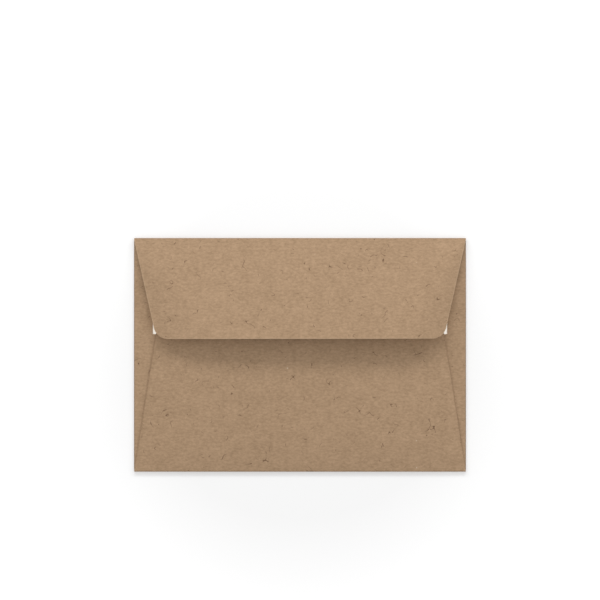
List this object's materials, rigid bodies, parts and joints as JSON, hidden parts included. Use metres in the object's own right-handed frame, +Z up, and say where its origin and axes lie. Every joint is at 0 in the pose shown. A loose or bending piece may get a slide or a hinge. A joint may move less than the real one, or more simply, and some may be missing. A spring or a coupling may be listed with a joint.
{
  "type": "kraft envelope",
  "caption": "Flat rectangular kraft paper envelope with slanted side seams, a raised trapezoid top flap with rounded corners, and a white tissue lining.",
  "frame": {"origin": "on the table, below the middle of the envelope's 162 by 114 mm outline", "axes": "+X along the long side, to the right when the flap side is looked at with the top fold up; +Y towards the top fold; +Z up, away from the address side"},
  "size_m": [0.162, 0.114, 0.0107],
  "materials": {
    "kraft_paper": "uncoated ribbed brown kraft, matt, with fine fibres and specks",
    "white_tissue": "thin uncoated white tissue, matt"
  },
  "bodies": {
    "root": {"kraft_blank": "kraft_paper", "tissue_lining": "white_tissue"}
  },
  "joints": []
}
